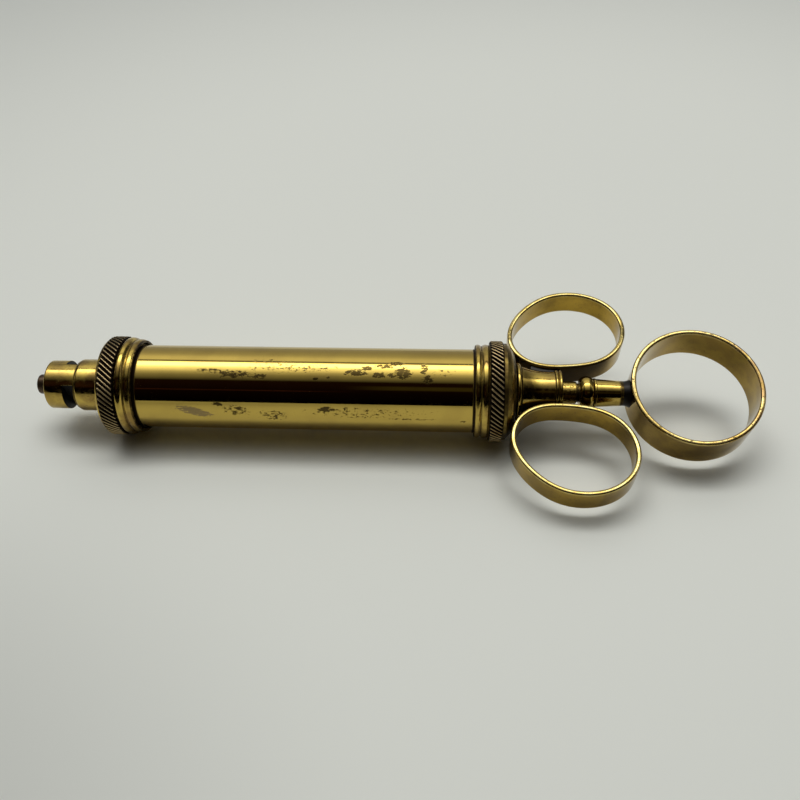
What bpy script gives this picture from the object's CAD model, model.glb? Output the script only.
import math

import bmesh
import bpy
from mathutils import Matrix, Vector


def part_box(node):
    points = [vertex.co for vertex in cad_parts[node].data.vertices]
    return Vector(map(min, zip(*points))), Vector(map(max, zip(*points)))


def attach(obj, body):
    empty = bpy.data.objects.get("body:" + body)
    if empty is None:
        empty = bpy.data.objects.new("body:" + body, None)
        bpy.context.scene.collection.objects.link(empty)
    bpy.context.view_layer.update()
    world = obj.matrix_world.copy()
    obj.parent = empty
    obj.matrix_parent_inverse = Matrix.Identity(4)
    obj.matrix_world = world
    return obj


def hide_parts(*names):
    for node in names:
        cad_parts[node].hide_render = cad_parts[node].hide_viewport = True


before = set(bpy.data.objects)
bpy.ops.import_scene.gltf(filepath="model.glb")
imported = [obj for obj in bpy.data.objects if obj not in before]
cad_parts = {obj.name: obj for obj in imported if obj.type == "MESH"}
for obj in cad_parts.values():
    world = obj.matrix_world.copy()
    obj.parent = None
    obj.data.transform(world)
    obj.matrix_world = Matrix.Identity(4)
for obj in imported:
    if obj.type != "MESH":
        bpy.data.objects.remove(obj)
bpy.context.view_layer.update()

# A brass three-ring syringe on a pale table. Lengths below are in millimetres and
# become metres in the meshes. The syringe's axis runs along X. Angles round the
# axis are 0 on the viewer's side, 90 on top and 180 on the far side.

MM = 0.001


def low(node):
    """The lowest corner of a CAD node, in millimetres."""
    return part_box(node)[0] / MM


def high(node):
    """The highest corner of a CAD node, in millimetres."""
    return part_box(node)[1] / MM


AXIS_Z = (low("barrel_tube").z + high("barrel_tube").z) / 2
FINGER_ROLL = math.radians(12.4)
THUMB_ROLL = math.radians(19.9)
COLLAR_ROLL = math.radians(21.4)
AROUND = 256

FINGER_OUTSIDE = 12.95
FINGER_CENTRE = 16.50
FINGER_WALL = 1.15
FINGER_WIDTH = 6.1
THUMB_OUTSIDE = 14.93
THUMB_WALL = 1.17
THUMB_WIDTH = 9.1

KNURL_CREST = 11.745
KNURL_DEPTH = 0.42
KNURL_TEETH = 60
KNURL_LEAN = math.radians(40)
STEPS_PER_TOOTH = 12

BRASS = (0.545, 0.39, 0.086)
BRASS_BROWN = (0.27, 0.17, 0.05)
GRIME = (0.022, 0.013, 0.007)
TARNISH = (0.13, 0.08, 0.035)
COPPERY = (0.27, 0.155, 0.07)


# ---------------------------------------------------------------- mesh tools

def along_bow(a, b, rise, steps=10):
    """Points on the arc from a to b that bulges by rise to the left of the way."""
    ax, ay = a
    bx, by = b
    half = math.hypot(bx - ax, by - ay) / 2
    radius = (half * half + rise * rise) / (2 * abs(rise))
    side = 1 if rise > 0 else -1
    ux, uy = (bx - ax) / (2 * half), (by - ay) / (2 * half)
    mx, my = (ax + bx) / 2, (ay + by) / 2
    inward = radius - abs(rise)
    cx, cy = mx + uy * inward * side, my - ux * inward * side
    start = math.atan2(ay - cy, ax - cx)
    end = math.atan2(by - cy, bx - cx)
    turn = (end - start + math.pi) % (2 * math.pi) - math.pi
    if abs(rise) > half:
        turn -= math.copysign(2 * math.pi, turn)
    return [
        (cx + radius * math.cos(start + turn * i / steps),
         cy + radius * math.sin(start + turn * i / steps))
        for i in range(1, steps)
    ]


def rounded(points, default=0.07):
    """A closed outline as plain points.

    Each corner is (x, r), (x, r, round) or (x, r, round, bow): round is the radius
    that softens the corner, and bow is how far the next edge bulges outwards.
    """
    dense = []
    for i, corner in enumerate(points):
        here = corner[:2]
        soft = corner[2] if len(corner) > 2 else default
        dense.append((here, soft))
        if len(corner) > 3:
            there = points[(i + 1) % len(points)][:2]
            dense += [(p, 0) for p in along_bow(here, there, corner[3])]
    out = []
    count = len(dense)
    for i in range(count):
        here, soft = dense[i]
        if soft <= 0:
            out.append(here)
            continue
        here = Vector(here)
        before = Vector(dense[i - 1][0]) - here
        after = Vector(dense[(i + 1) % count][0]) - here
        turn = math.pi - before.angle(after)
        if turn < math.radians(4):
            out.append(tuple(here))
            continue
        reach = soft * math.tan(turn / 2)
        reach = min(reach, before.length * 0.45, after.length * 0.45)
        a = here + before.normalized() * reach
        b = here + after.normalized() * reach
        steps = max(2, int(math.degrees(turn) / 16) + 1)
        for k in range(steps + 1):
            t = k / steps
            p = a * (1 - t) ** 2 + here * 2 * t * (1 - t) + b * t * t
            out.append(tuple(p))
    return out


def new_object(name, bm, smooth_under=35):
    """Makes a shaded object from a bmesh."""
    bmesh.ops.recalc_face_normals(bm, faces=bm.faces)
    mesh = bpy.data.meshes.new(name)
    bm.to_mesh(mesh)
    bm.free()
    for face in mesh.polygons:
        face.use_smooth = True
    mesh.set_sharp_from_angle(angle=math.radians(smooth_under))
    thing = bpy.data.objects.new(name, mesh)
    bpy.context.collection.objects.link(thing)
    weighted = thing.modifiers.new("even_shading", "WEIGHTED_NORMAL")
    weighted.keep_sharp = True
    return thing


def skin(bm, rows):
    """Faces between rows of points, each row and the run of rows both closed."""
    for a, b in zip(rows, rows[1:] + rows[:1]):
        for j in range(len(a)):
            k = (j + 1) % len(a)
            bm.faces.new((a[j], a[k], b[k], b[j]))


def on_axis(x, radius, angle):
    """A point at a place along the syringe and round it, in metres."""
    return Vector((x, -radius * math.cos(angle), AXIS_Z + radius * math.sin(angle))) * MM


def lathe(name, start, outline, soft=0.07):
    """A turned piece. outline is a closed run of (x, radius) corners from start."""
    points = rounded(outline, soft)
    bm = bmesh.new()
    rows = []
    for i in range(AROUND):
        angle = 2 * math.pi * i / AROUND
        rows.append([bm.verts.new(on_axis(start + x, max(r, 0), angle)) for x, r in points])
    skin(bm, rows)
    bmesh.ops.remove_doubles(bm, verts=bm.verts, dist=1e-7)
    return new_object(name, bm)


def band(name, middle, outline, wall, width, roll, corner):
    """A flat strip bent into a ring. outline(angle) is its outer edge's (x, y)."""
    turn = Matrix.Rotation(roll, 3, "X")
    half = width / 2
    section = rounded([(0, -half), (wall, -half), (wall, half), (0, half)], corner)
    bm = bmesh.new()
    rows = []
    step = 2 * math.pi / AROUND
    for i in range(AROUND):
        here = Vector(outline(i * step))
        way = (Vector(outline((i + 1) * step)) - Vector(outline((i - 1) * step))).normalized()
        inward = Vector((-way.y, way.x))
        row = []
        for depth, height in section:
            flat = here + inward * depth
            p = turn @ Vector((flat.x, flat.y, height))
            row.append(bm.verts.new((p + Vector(middle)) * MM))
        rows.append(row)
    skin(bm, rows)
    return new_object(name, bm)


# ------------------------------------------------------------------ materials

class Nodes:
    """A short way to write a tree of shader nodes."""

    def __init__(self, tree):
        self.tree = tree
        tree.nodes.clear()

    def add(self, kind, **settings):
        node = self.tree.nodes.new(kind)
        for key, value in settings.items():
            setattr(node, key, value)
        return node

    def put(self, value, socket):
        """Sets a socket to a number or a colour, or links an output to it."""
        if isinstance(value, bpy.types.NodeSocket):
            self.tree.links.new(value, socket)
        elif isinstance(value, tuple) and len(value) == 3 and socket.type == "RGBA":
            socket.default_value = (*value, 1)
        else:
            socket.default_value = value

    def math(self, operation, a, b=0.0, clamp=False):
        node = self.add("ShaderNodeMath", operation=operation, use_clamp=clamp)
        self.put(a, node.inputs[0])
        self.put(b, node.inputs[1])
        return node.outputs[0]

    def ramp(self, value, start, end, low=0.0, high=1.0):
        """Runs smoothly from low to high as value goes from start to end."""
        node = self.add("ShaderNodeMapRange", interpolation_type="SMOOTHSTEP")
        for number, socket in zip((value, start, end, low, high), node.inputs):
            self.put(number, socket)
        return node.outputs[0]

    def mix(self, share, a, b):
        node = self.add("ShaderNodeMix", data_type="RGBA")
        self.put(share, node.inputs[0])
        self.put(a, node.inputs[6])
        self.put(b, node.inputs[7])
        return node.outputs[2]

    def noise(self, where, scale, detail=3.0, rough=0.55):
        node = self.add("ShaderNodeTexNoise")
        self.put(where, node.inputs["Vector"])
        self.put(scale, node.inputs["Scale"])
        self.put(detail, node.inputs["Detail"])
        self.put(rough, node.inputs["Roughness"])
        return node.outputs["Fac"]

    def place(self):
        """The point on the piece, in millimetres."""
        node = self.add("ShaderNodeVectorMath", operation="SCALE")
        self.put(self.add("ShaderNodeTexCoord").outputs["Object"], node.inputs[0])
        node.inputs["Scale"].default_value = 1 / MM
        return node.outputs[0]

    def split(self, vector):
        node = self.add("ShaderNodeSeparateXYZ")
        self.put(vector, node.inputs[0])
        return node.outputs

    def join(self, x, y, z):
        node = self.add("ShaderNodeCombineXYZ")
        for value, socket in zip((x, y, z), node.inputs):
            self.put(value, socket)
        return node.outputs[0]

    def around(self, where):
        """The point as x along the syringe, its angle in radians and its radius."""
        x, y, z = self.split(where)
        up = self.math("SUBTRACT", z, AXIS_Z)
        angle = self.math("ARCTAN2", up, self.math("MULTIPLY", y, -1.0))
        radius = self.math("SQRT", self.math("ADD", self.math("MULTIPLY", up, up),
                                             self.math("MULTIPLY", y, y)))
        return x, angle, radius

    def bump(self, height, strength, depth, below=None):
        node = self.add("ShaderNodeBump")
        node.inputs["Strength"].default_value = strength
        node.inputs["Distance"].default_value = depth * MM
        self.put(height, node.inputs["Height"])
        if below is not None:
            self.put(below, node.inputs["Normal"])
        return node.outputs[0]

    def hollow(self, reach):
        """How deep in a crevice the point is, from 0 in the open to 1."""
        node = self.add("ShaderNodeAmbientOcclusion", samples=8)
        node.inputs["Distance"].default_value = reach * MM
        return self.math("SUBTRACT", 1.0, node.outputs["AO"], clamp=True)

    def near(self, value, middle, half, strength=1.0):
        """strength where value is close to middle, falling to 0 beyond half."""
        away = self.math("ABSOLUTE", self.math("SUBTRACT", value, middle))
        return self.ramp(away, half * 0.5, half * 1.2, strength, 0.0)

    def spot(self, where, middle, halves, strength):
        """strength inside an oval spot of the plane, falling to 0 past its edge."""
        shift = self.add("ShaderNodeVectorMath", operation="MULTIPLY_ADD")
        scales = [1 / h for h in halves]
        self.put(where, shift.inputs[0])
        shift.inputs[1].default_value = (*scales, 0)
        shift.inputs[2].default_value = (-middle[0] * scales[0], -middle[1] * scales[1], 0)
        length = self.add("ShaderNodeVectorMath", operation="LENGTH")
        self.put(shift.outputs[0], length.inputs[0])
        return self.ramp(length.outputs["Value"], 0.3, 1.35, strength, 0.0)

    def largest(self, values):
        total = values[0]
        for value in values[1:]:
            total = self.math("MAXIMUM", total, value)
        return total


def new_material(name, metallic=1.0):
    """A material, its node helper and its shader."""
    material = bpy.data.materials.new(name)
    material.use_nodes = True
    n = Nodes(material.node_tree)
    shader = n.add("ShaderNodeBsdfPrincipled")
    n.put(shader.outputs[0], n.add("ShaderNodeOutputMaterial").inputs["Surface"])
    shader.inputs["Metallic"].default_value = metallic
    return material, n, shader


def brass(name, colour=BRASS, brown=BRASS_BROWN, shine=0.10, age=0.35, grime=0.95,
          turned=0.5, bands=(), pitted=0.0, rim=None, under=None, joint=None):
    """Old polished brass: uneven colour, dark crevices, fine turning lines, specks.

    bands are (x, half width, strength) rings of grime, and pitted is the strength of the
    pits all over. rim is (roll, half width, colour, pits, x) for a ring's two rims,
    turning coppery beyond x. under is (x, z, z) for a grimy underside beyond x, full
    below the first z and gone above the second. joint is (y, y) for a ring's stain
    beside its soldered joint, full within the first y and gone past the second.
    """
    material, n, shader = new_material(name)
    where = n.place()
    x, angle, radius = n.around(where)
    _, y, z = n.split(where)
    tone = n.mix(n.ramp(n.noise(where, 0.22, 5.0), 0.38, 0.64, 0.0, age), colour, brown)
    specks = n.ramp(n.noise(where, 1.9, 5.0, 0.68), 0.60, 0.66, 0.0, age)
    tone = n.mix(specks, tone, TARNISH)
    dull = n.ramp(n.noise(where, 0.9, 4.0, 0.6), 0.35, 0.75, shine * 0.7, shine * 1.9)
    lines = n.noise(n.join(n.math("MULTIPLY", x, 14.0), angle, radius), 1.0, 2.0)
    normal = n.bump(lines, turned * 0.2, 0.012)
    normal = n.bump(n.noise(where, 0.7, 2.0), 0.15, 0.06, normal)
    pits = None
    if rim is not None:
        roll, half, rim_colour, rim_pits, coppery_from = rim
        across = n.math("ADD", n.math("MULTIPLY", y, -math.sin(roll)),
                        n.math("MULTIPLY", n.math("SUBTRACT", z, AXIS_Z), math.cos(roll)))
        edge = n.ramp(n.math("ABSOLUTE", across), half - 0.75, half - 0.25)
        patchy = n.ramp(n.noise(where, 0.30, 3.0), 0.38, 0.62, 0.45, 1.0)
        coppery = n.math("MULTIPLY", n.ramp(n.noise(where, 0.25, 3.0), 0.36, 0.56, 0.0, 0.8),
                         n.ramp(x, coppery_from, coppery_from + 12.0))
        rim_tone = n.mix(coppery, rim_colour, COPPERY)
        tone = n.mix(n.math("MULTIPLY", edge, patchy), tone, rim_tone)
        pitting = n.ramp(n.noise(where, 2.1, 5.0, 0.75), 0.56, 0.66, 0.0, rim_pits)
        pits = n.math("MULTIPLY", edge, pitting)
    if pitted:
        pits = n.ramp(n.noise(where, 1.6, 4.0, 0.7), 0.50, 0.62, 0.0, pitted)
    if pits is not None:
        tone = n.mix(n.math("MULTIPLY", pits, 0.85), tone, GRIME)
        normal = n.bump(n.math("SUBTRACT", 1.0, pits), 0.8, 0.05, normal)
    dirt = n.ramp(n.hollow(0.9), 0.25, 0.75, 0.0, grime)
    if bands:
        rings = n.largest([n.near(x, *ring) for ring in bands])
        patchy = n.ramp(n.noise(where, 0.8, 4.0), 0.25, 0.6, 0.5, 1.0)
        dirt = n.math("MAXIMUM", dirt, n.math("MULTIPLY", rings, patchy))
    if under is not None:
        below = n.math("MULTIPLY", n.ramp(z, under[1], under[2], 0.92, 0.0),
                       n.math("GREATER_THAN", x, under[0]))
        dirt = n.math("MAXIMUM", dirt, below)
    if joint is not None:
        facing = n.split(n.add("ShaderNodeTexCoord").outputs["Normal"])[1]
        inwards = n.math("MULTIPLY", n.math("MULTIPLY", facing, n.math("SIGN", y)), -1.0)
        beside = n.ramp(n.math("ABSOLUTE", y), joint[0], joint[1], 0.9, 0.0)
        dirt = n.math("MAXIMUM", dirt, n.math("MULTIPLY", beside, n.ramp(inwards, 0.1, 0.6)))
    tone = n.mix(dirt, tone, GRIME)
    n.put(tone, shader.inputs["Base Color"])
    n.put(n.math("ADD", dull, n.math("MULTIPLY", dirt, 0.4), clamp=True),
          shader.inputs["Roughness"])
    n.put(normal, shader.inputs["Normal"])
    return material


def barrel_brass():
    """The barrel: bright lacquered brass with brown worn patches and fine scratches."""
    material, n, shader = new_material("barrel_brass")
    where = n.place()
    x, angle, _ = n.around(where)
    start = low("barrel_tube").x
    along = n.math("SUBTRACT", x, start)
    height = n.math("MULTIPLY", angle, 180 / math.pi)
    flat = n.join(along, height, 0.0)
    # worn-through spots: place along (mm), angle (degrees), half sizes, strength
    brown_spots = [
        ((56.6, 64), (3.6, 7), 1.0), ((59.0, 71), (1.8, 5), 1.0), ((61.9, 61), (2.3, 6), 1.0),
        ((67.3, 64), (2.9, 12), 1.0), ((64.9, 61), (2.0, 5), 0.95), ((65.8, 79), (2.6, 5), 0.95),
        ((62.9, 74), (3.2, 5), 0.9), ((49.9, 13), (2.9, 6), 1.0), ((47.6, 55), (1.0, 3), 1.0),
        ((50.5, 56), (0.8, 3), 0.9), ((25.2, 18), (1.9, 4), 1.0), ((28.5, 60), (6.5, 8), 0.86),
        ((23.0, 64), (5.0, 6), 0.78), ((34.5, 57), (2.8, 6), 0.9), ((29.4, 9), (4.6, 12), 0.76),
        ((37.6, 2), (5.2, 12), 0.74), ((54.5, 11), (1.4, 4), 0.8), ((58.0, 1), (6.0, 3), 0.66),
        ((70.0, -1), (9.0, 2.5), 0.72), ((81.0, -4), (1.0, 2.5), 0.95),
        ((72.0, 70), (1.3, 13), 0.92), ((73.0, 56), (2.0, 9), 0.90), ((42.0, 70), (17.0, 11), 0.66),
        ((58.0, 9), (20.0, 14), 0.62), ((37.0, 80), (9.0, 6), 0.58), ((76.0, 66), (5.0, 10), 0.60),
    ]
    spots = n.largest([n.spot(flat, *spot) for spot in brown_spots])
    grain = n.join(n.math("MULTIPLY", x, 0.75), n.math("MULTIPLY", angle, 14.0), 0.0)
    broken = n.noise(grain, 1.15, 8.0, 0.74)
    worn = n.ramp(n.math("ADD", n.math("MULTIPLY", spots, 0.35), broken), 0.755, 0.775)
    fleck = n.ramp(n.noise(grain, 2.0, 5.0, 0.7), 0.655, 0.69, 0.0, 0.75)
    worn = n.math("MAXIMUM", worn, fleck)
    slanting = n.join(along, n.math("ADD", height, n.math("MULTIPLY", along, 1.4)), 0.0)
    smudge = n.spot(slanting, (19.5, 33.5), (5.4, 9), 0.4)
    streaks = n.noise(n.join(n.math("MULTIPLY", x, 0.9), n.math("MULTIPLY", angle, 26.0), 0.0),
                      1.0, 6.0, 0.7)
    smudge = n.ramp(n.math("ADD", smudge, streaks), 0.74, 0.80)
    ends = n.largest([
        n.near(along, high("front_cap").x - start + 0.1, 0.65),
        n.near(along, low("rear_cap").x - start - 0.1, 0.45),
    ])
    tone = n.mix(n.ramp(n.noise(where, 0.12, 3.0), 0.4, 0.7, 0.0, 0.2), BRASS, BRASS_BROWN)
    tone = n.mix(n.math("MULTIPLY", smudge, 0.85), tone, (0.24, 0.175, 0.085))
    brown = n.mix(n.noise(where, 0.7, 4.0), (0.014, 0.008, 0.002), (0.062, 0.040, 0.014))
    tone = n.mix(n.math("MULTIPLY", worn, 0.92), tone, brown)
    tone = n.mix(ends, tone, GRIME)
    n.put(tone, shader.inputs["Base Color"])
    smear = n.ramp(n.noise(where, 0.35, 4.0), 0.4, 0.8, 0.045, 0.10)
    matt = n.largest([n.math("MULTIPLY", worn, 0.22), n.math("MULTIPLY", smudge, 0.30),
                      n.math("MULTIPLY", ends, 0.5)])
    n.put(n.math("ADD", smear, matt), shader.inputs["Roughness"])
    rings = n.noise(n.join(n.math("MULTIPLY", x, 0.3), n.math("MULTIPLY", angle, 60.0), 0.0),
                    1.0, 4.0, 0.7)
    normal = n.bump(rings, 0.10, 0.01)
    normal = n.bump(n.math("SUBTRACT", 1.0, worn), 0.12, 0.02, normal)
    n.put(normal, shader.inputs["Normal"])
    return material


def knurl_brass():
    """Knurled brass: tan crests between grooves filled with black old polish."""
    material, n, shader = new_material("knurl_brass")
    where = n.place()
    _, _, radius = n.around(where)
    crest = n.ramp(radius, KNURL_CREST - KNURL_DEPTH * 0.45, KNURL_CREST - KNURL_DEPTH * 0.05)
    tan = n.mix(n.noise(where, 0.6, 3.0), (0.62, 0.48, 0.24), (0.30, 0.21, 0.10))
    n.put(n.mix(crest, (0.010, 0.006, 0.004), tan), shader.inputs["Base Color"])
    n.put(n.ramp(crest, 0.0, 1.0, 0.6, 0.24), shader.inputs["Roughness"])
    return material


def plain(name, colour, rough, metallic=0.0, grain=1.5, depth=0.03):
    """A matt, finely mottled material for leather, solder and tarnish."""
    material, n, shader = new_material(name, metallic)
    where = n.place()
    dark = tuple(c * 0.5 for c in colour)
    n.put(n.mix(n.noise(where, grain, 5.0), colour, dark), shader.inputs["Base Color"])
    shader.inputs["Roughness"].default_value = rough
    n.put(n.bump(n.noise(where, grain * 3, 4.0), 0.6, depth), shader.inputs["Normal"])
    return material


# --------------------------------------------------------------------- pieces

def dress(thing, *materials):
    """Gives a piece these materials in place of its own."""
    thing.data.materials.clear()
    for material in materials:
        thing.data.materials.append(material)


def stand_for(piece, material, body, node):
    """Puts a piece on its body, in place of the CAD node it stands for."""
    dress(piece, material)
    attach(piece, body)
    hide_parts(node)


def knurl(name, start, width):
    """A ring cut all round with slanting grooves, its edges taken off."""
    base = KNURL_CREST - 1.2
    around = KNURL_TEETH * STEPS_PER_TOOTH
    rows_across = 24
    pitch = 2 * math.pi * KNURL_CREST / KNURL_TEETH
    edge = 0.35
    edge_drop = 0.34
    crest_share = 0.16
    flank_share = 0.60
    bm = bmesh.new()
    rows = []
    for i in range(around):
        angle = 2 * math.pi * i / around
        row = [bm.verts.new(on_axis(start, base, angle))]
        for j in range(rows_across + 1):
            x = width * j / rows_across
            phase = (i / STEPS_PER_TOOTH + x * math.tan(KNURL_LEAN) / pitch) % 1.0
            away = abs(phase - 0.5) * 2
            cut = min(max((away - crest_share) / flank_share, 0.0), 1.0)
            taper = edge_drop * max(0.0, 1 - min(x, width - x) / edge) ** 1.5
            radius = KNURL_CREST - max(KNURL_DEPTH * cut, taper)
            row.append(bm.verts.new(on_axis(start + x, radius, angle)))
        row.append(bm.verts.new(on_axis(start + width, base, angle)))
        rows.append(row)
    skin(bm, rows)
    return new_object(name, bm, smooth_under=50)


def barrel():
    start = low("barrel_tube").x
    length = high("barrel_tube").x - start
    tube = lathe("barrel", start, [(0, 8.75), (0, 9.75), (length, 9.75), (length, 8.75)], 0.12)
    stand_for(tube, barrel_brass(), "barrel", "barrel_tube")


def front_cap(knurled):
    start = low("front_cap").x
    seat = KNURL_CREST - 0.9
    cap = lathe("front_cap_turned", start, [
        (0, 2.15), (0, 6.15, 0.8), (6.9, 6.15, 0.15), (7.3, 11.0, 0.5), (7.9, 11.3, 0.1),
        (7.9, seat), (11.6, seat), (11.6, 11.05, 0.03, 0.5), (13.4, 11.05, 0.03),
        (13.5, 10.9, 0.03), (13.75, 10.9, 0.03, 0.22), (15.1, 10.9, 0.03),
        (15.12, 10.85, 0.02), (15.45, 10.85, 0.1), (15.45, 10.25), (9.1, 10.25),
        (9.1, 0.9), (4.7, 0.9), (4.7, 2.15),
    ])
    bands = [(start + 13.58, 0.14, 0.8), (start + 15.45, 0.34, 0.97),
             (start + 11.55, 0.16, 0.9), (start, 0.16, 0.6)]
    material = brass("front_cap_brass", shine=0.15, bands=bands, age=0.9)
    stand_for(cap, material, "front_cap", "front_cap")
    ring = knurl("front_knurl", start + 7.9, 3.7)
    stand_for(ring, knurled, "front_cap", "front_cap")


def nozzle_collar(grimy):
    """The collar, with a slot sawn across each side for a nozzle's catches."""
    start = low("nozzle_collar").x
    collar = lathe("collar", start, [(0, 2.15), (0, 5.75, 0.45), (7.3, 5.75, 0.12), (7.3, 2.15)])
    slot_from = 4.41
    slot_width = 2.69
    flat = 2.75
    turn = Matrix.Rotation(COLLAR_ROLL, 4, "X")
    cutters = []
    for side in (-1, 1):
        bpy.ops.mesh.primitive_cube_add(size=1)
        cutter = bpy.context.object
        middle = Vector((start + slot_from + slot_width / 2, side * (flat + 3), 0))
        cutter.matrix_world = (
            Matrix.Translation(Vector((0, 0, AXIS_Z)) * MM) @ turn
            @ Matrix.Translation(middle * MM)
            @ Matrix.Diagonal((slot_width * MM, 6 * MM, 14 * MM, 1))
        )
        cutters.append(cutter)
        cut = collar.modifiers.new("slot", "BOOLEAN")
        cut.object = cutter
        cut.operation = "DIFFERENCE"
        cut.solver = "EXACT"
    edges = collar.modifiers.new("worn_edges", "BEVEL")
    edges.width = 0.08 * MM
    edges.segments = 2
    edges.limit_method = "ANGLE"
    edges.angle_limit = math.radians(40)
    bpy.context.view_layer.update()
    graph = bpy.context.evaluated_depsgraph_get()
    cut_mesh = bpy.data.meshes.new_from_object(collar.evaluated_get(graph))
    collar.modifiers.clear()
    collar.data = cut_mesh
    for cutter in cutters:
        bpy.data.objects.remove(cutter)
    bands = [(start + 7.3, 0.2, 0.7)]
    stand_for(collar, brass("collar_brass", shine=0.15, bands=bands, age=0.6, turned=0.9),
              "front_cap", "nozzle_collar")
    collar.data.materials.append(grimy)
    for face in cut_mesh.polygons:
        x, y, z = face.center / MM
        inside = math.hypot(y, z - AXIS_Z) < 5.62
        if inside and slot_from - 0.05 < x - start < slot_from + slot_width + 0.05:
            face.material_index = 1


def nozzle_spigot(dark):
    start = low("nozzle_spigot").x
    spigot = lathe("spigot", start, [
        (0, 0.9, 0.1), (0, 2.35, 0.45), (3.2, 2.35), (3.2, 2.15), (15.2, 2.15), (15.2, 0.9),
    ])
    stand_for(spigot, dark, "front_cap", "nozzle_spigot")


def rear_cap(knurled):
    start = low("rear_cap").x
    seat = KNURL_CREST - 0.9
    cap = lathe("rear_cap_turned", start, [
        (0, 10.25), (0, 10.6, 0.05, 0.28), (1.3, 10.6, 0.02), (1.3, 10.5, 0.02),
        (1.6, 10.5, 0.02), (1.6, 10.6, 0.02, 0.3), (3.25, 10.6, 0.03), (3.35, 11.2, 0.03),
        (3.35, seat), (6.45, seat), (6.45, 11.2, 0.06), (7.25, 11.2, 0.1),
        (7.3, 10.9, 0.05, 0.45), (9.3, 7.6, 0.05), (9.3, 4.3), (6.06, 4.3), (6.06, 10.25),
    ])
    bands = [(start, 0.2, 0.9), (start + 1.45, 0.16, 0.85), (start + 3.4, 0.14, 0.8),
             (start + 6.8, 0.8, 0.8), (start + 7.9, 0.5, 0.5), (start + 9.3, 0.9, 0.95)]
    under = (start + 6.5, AXIS_Z - 4.0, AXIS_Z + 1.0)
    material = brass("rear_cap_brass", shine=0.15, bands=bands, age=0.9, under=under)
    stand_for(cap, material, "rear_cap", "rear_cap")
    ring = knurl("rear_knurl", start + 3.35, 3.1)
    stand_for(ring, knurled, "rear_cap", "rear_cap")


def rod_guide():
    start = low("rod_guide").x
    guide = lathe("guide", start, [
        (0, 2.65), (0, 4.3), (3.24, 4.3), (3.24, 6.2, 0.1), (3.4, 6.25, 0.02, 0.52),
        (4.6, 6.25, 0.02), (4.6, 5.9, 0.02), (4.85, 6.05, 0.05, -0.42),
        (12.35, 4.85, 0.02), (12.4, 4.8, 0.02), (12.42, 5.05, 0.02, 0.16), (13.08, 5.05, 0.02),
        (13.2, 4.93, 0.02), (13.32, 5.05, 0.02, 0.16), (14, 5.05, 0.1), (14, 2.65, 0.1),
    ])
    bands = [(start + 3.25, 0.3, 0.9), (start + 4.7, 0.22, 0.95), (start + 12.38, 0.12, 0.85),
             (start + 13.2, 0.1, 0.8), (start + 14.05, 0.16, 0.8)]
    under = (start, AXIS_Z - 2.4, AXIS_Z - 0.6)
    material = brass("guide_brass", shine=0.13, bands=bands, age=0.6, under=under)
    stand_for(guide, material, "rear_cap", "rod_guide")


def finger_outline(side):
    """The outer edge of a finger ring: an oval, flattened where it meets the guide."""
    def edge(angle):
        radius = (
            FINGER_OUTSIDE
            + 1.33 * math.cos(2 * (angle - math.radians(17.7)))
            + 0.37 * math.cos(3 * (angle - math.radians(90)))
            + 0.14 * math.cos(4 * (angle - math.radians(30)))
        )
        return radius * math.cos(angle), side * (FINGER_CENTRE + radius * math.sin(angle))
    return lambda angle: edge(side * angle)


def finger_rings():
    rim = (FINGER_ROLL, FINGER_WIDTH / 2, (0.50, 0.405, 0.155), 0.3, high("thumb_ring").x)
    material = brass("ring_brass", (0.42, 0.272, 0.042), (0.22, 0.14, 0.03), 0.075, 0.6, 0.9,
                     0.0, rim=rim, joint=(5.6, 8.8))
    middle = (low("finger_ring_near").x + high("finger_ring_near").x) / 2
    for name, side in (("near", -1), ("far", 1)):
        ring = band("ring_" + name, (middle, 0, AXIS_Z), finger_outline(side),
                    FINGER_WALL, FINGER_WIDTH, FINGER_ROLL, 0.52)
        stand_for(ring, material, "rear_cap", "finger_ring_" + name)


def thumb_ring():
    middle = (low("thumb_ring").x + high("thumb_ring").x) / 2
    rim = (THUMB_ROLL, THUMB_WIDTH / 2, (0.54, 0.42, 0.16), 0.75, middle - 2.0)
    material = brass("thumb_brass", (0.38, 0.252, 0.048), (0.22, 0.135, 0.035), 0.07, 0.55, 0.9,
                     0.0, rim=rim)
    ring = band("ring_thumb", (middle, 0, AXIS_Z),
                lambda a: (THUMB_OUTSIDE * math.cos(a), THUMB_OUTSIDE * math.sin(a)),
                THUMB_WALL, THUMB_WIDTH, THUMB_ROLL, 0.55)
    stand_for(ring, material, "rod", "thumb_ring")


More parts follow.
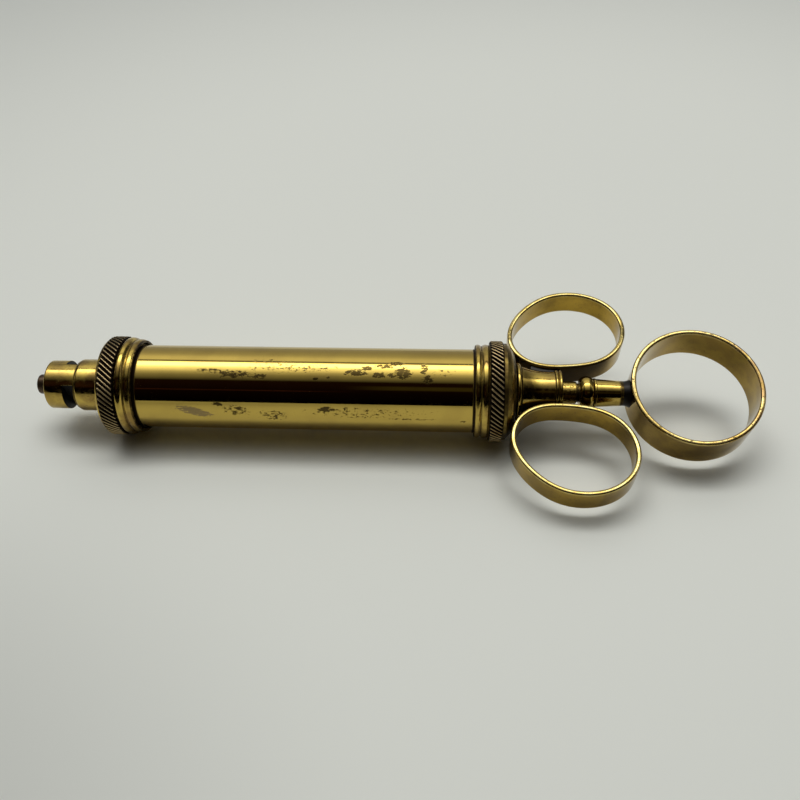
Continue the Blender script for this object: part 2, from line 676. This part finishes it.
def rod_and_stem(dark):
    start = low("piston_rod").x
    shoulder = high("piston_rear_disc").x - start
    end = low("thumb_stem").x - start
    rod = lathe("rod", start, [
        (0, 0), (0, 1.5, 0.2), (shoulder, 1.5), (shoulder, 2.6), (end, 2.6, 0.15),
        (end, 1.5), (end + 4, 1.5), (end + 4, 0),
    ])
    bands = [(start + end, 0.35, 0.9)]
    material = brass("rod_brass", age=0.5, shine=0.13, pitted=0.5, bands=bands)
    stand_for(rod, material, "rod", "piston_rod")
    start = low("thumb_stem").x
    stem = lathe("stem", start, [
        (0, 1.5), (0, 2.2), (0.7, 2.2, 0.05), (0.75, 3.1, 0.25, 0.8), (3.95, 3.1, 0.05),
        (3.95, 3.4, 0.12), (4.35, 3.4, 0.12), (4.5, 3.27, 0.05), (10.6, 2.88, 0.0),
        (10.6, 0), (4.0, 0), (4.0, 1.5),
    ])
    bands = [(start + 0.35, 0.42, 0.97), (start + 3.97, 0.1, 0.85), (start + 4.42, 0.1, 0.7),
             (start + 10.6, 0.9, 0.95)]
    material = brass("stem_brass", bands=bands, age=0.45)
    stand_for(stem, material, "rod", "thumb_stem")
    flare = lathe("flare", start, [
        (10.4, 0), (10.4, 2.87, 0.02, -0.25), (12.75, 3.6, 0.05), (12.75, 0),
    ])
    stand_for(flare, dark, "rod", "thumb_solder")


def leftovers(leather, solder):
    """Dresses the CAD nodes that nothing stands for."""
    dull = brass("dull_brass", shine=0.2, age=0.6)
    kept = {
        dull: ("front_thread_ring", "rear_thread_ring", "piston_nut", "piston_front_disc",
               "piston_spacer", "piston_rear_disc"),
        leather: ("front_washer", "rear_washer", "piston_leather_front", "piston_leather_rear"),
        solder: ("finger_solder_near", "finger_solder_far"),
    }
    for material, nodes in kept.items():
        for node in nodes:
            dress(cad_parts[node], material)


# ------------------------------------------------------------ table and light

def table():
    """A pale matt table, a little darker away from the middle and in one near corner."""
    bm = bmesh.new()
    bmesh.ops.create_grid(bm, x_segments=1, y_segments=1, size=3.0)
    floor = new_object("table", bm)
    material, n, shader = new_material("table_white", 0.0)
    where = n.place()
    middle = n.spot(where, (35, 100), (330, 310), 1.0)
    corner = n.spot(where, (-110, -120), (95, 85), 0.22)
    tone = n.mix(middle, (0.66, 0.68, 0.63), (0.925, 0.945, 0.868))
    tone = n.mix(corner, tone, (0.0, 0.0, 0.0))
    n.put(tone, shader.inputs["Base Color"])
    shader.inputs["Roughness"].default_value = 0.65
    shader.inputs["Specular IOR Level"].default_value = 0.25
    dress(floor, material)


def room():
    """A long soft lamp above and a little behind, a pale far wall, a dark near side."""
    world = bpy.data.worlds.new("room")
    bpy.context.scene.world = world
    world.use_nodes = True
    n = Nodes(world.node_tree)
    backdrop = n.add("ShaderNodeBackground")
    n.put(backdrop.outputs[0], n.add("ShaderNodeOutputWorld").inputs["Surface"])
    x, y, z = n.split(n.add("ShaderNodeTexCoord").outputs["Generated"])
    height = n.math("ARCTAN2", z, n.math("MULTIPLY", y, -1.0))
    glow = n.add("ShaderNodeValToRGB")
    n.put(n.math("DIVIDE", height, math.pi), glow.inputs["Fac"])
    # the room's colour at each angle round the syringe's axis
    stops = [(0, 0.0), (30, (0.004, 0.0015, 0.001)), (48, (0.009, 0.0035, 0.002)),
             (60, (0.012, 0.005, 0.003)), (63, 0.08), (68, 0.18), (76, 0.34), (84, 0.72),
             (93, 1.75), (100, 2.6), (103, 5.0), (113, 5.0), (115.5, 1.3), (117, 0.35),
             (118, 0.2), (120, 0.2), (122, 1.0), (125, 1.05), (133, 0.95), (140, 0.70),
             (147, 0.54), (156, 0.45), (165, 0.39), (180, 0.42)]
    peak = 8.0
    ramp = glow.color_ramp
    ramp.elements.remove(ramp.elements[1])
    for degrees, value in stops:
        colour = value if isinstance(value, tuple) else (value, value, value)
        element = ramp.elements[0] if degrees == 0 else ramp.elements.new(degrees / 180)
        element.position = degrees / 180
        element.color = (*[c / peak for c in colour], 1)
    sideways = n.math("ABSOLUTE", n.math("ADD", x, 0.05))
    reach = n.ramp(sideways, 0.32, 0.60, 1.0, 0.13)
    # faint things the dark side shows: a brown glow, a thin red line, an olive strip
    faint = [
        ((0.035, 0.016, 0.010), 45, 15, n.ramp(x, -0.36, -0.40)),
        ((0.035, 0.012, 0.010), 34, 1.3, n.ramp(x, -0.10, -0.20)),
        ((0.040, 0.034, 0.014), 45, 6, n.ramp(x, -0.13, -0.05)),
    ]
    colour = glow.outputs["Color"]
    for tint, middle, half, share in faint:
        share = n.math("MULTIPLY", share, n.near(height, math.radians(middle), math.radians(half)))
        colour = n.mix(share, colour, tuple(c / peak for c in tint))
    n.put(colour, backdrop.inputs["Color"])
    n.put(n.math("MULTIPLY", reach, peak), backdrop.inputs["Strength"])


def camera():
    data = bpy.data.cameras.new("camera")
    data.lens = 37.63
    data.sensor_width = 36.0
    data.clip_start = 0.01
    eye = bpy.data.objects.new("camera", data)
    bpy.context.collection.objects.link(eye)
    place = Vector((0.01307, -0.14631, 0.14319))
    aim = Vector((0.00217, -0.00353, 0.01175))
    look = (aim - place).to_track_quat("-Z", "Y").to_matrix().to_4x4()
    roll = Matrix.Rotation(math.radians(-1.98), 4, "Z")
    eye.matrix_world = Matrix.Translation(place) @ look @ roll
    bpy.context.scene.camera = eye


knurled = knurl_brass()
dark_brass = plain("dark_tarnish", (0.10, 0.062, 0.035), 0.35, metallic=0.8)
grimy = plain("slot_grime", (0.006, 0.005, 0.005), 0.5, metallic=0.5)
solder = plain("old_solder", (0.012, 0.009, 0.006), 0.36, metallic=0.6)
leather = plain("oiled_leather", (0.22, 0.13, 0.06), 0.62)

barrel()
front_cap(knurled)
nozzle_collar(grimy)
nozzle_spigot(dark_brass)
rear_cap(knurled)
rod_guide()
finger_rings()
thumb_ring()
rod_and_stem(solder)
leftovers(leather, solder)
table()
room()
camera()
bpy.context.scene.view_settings.view_transform = "Standard"
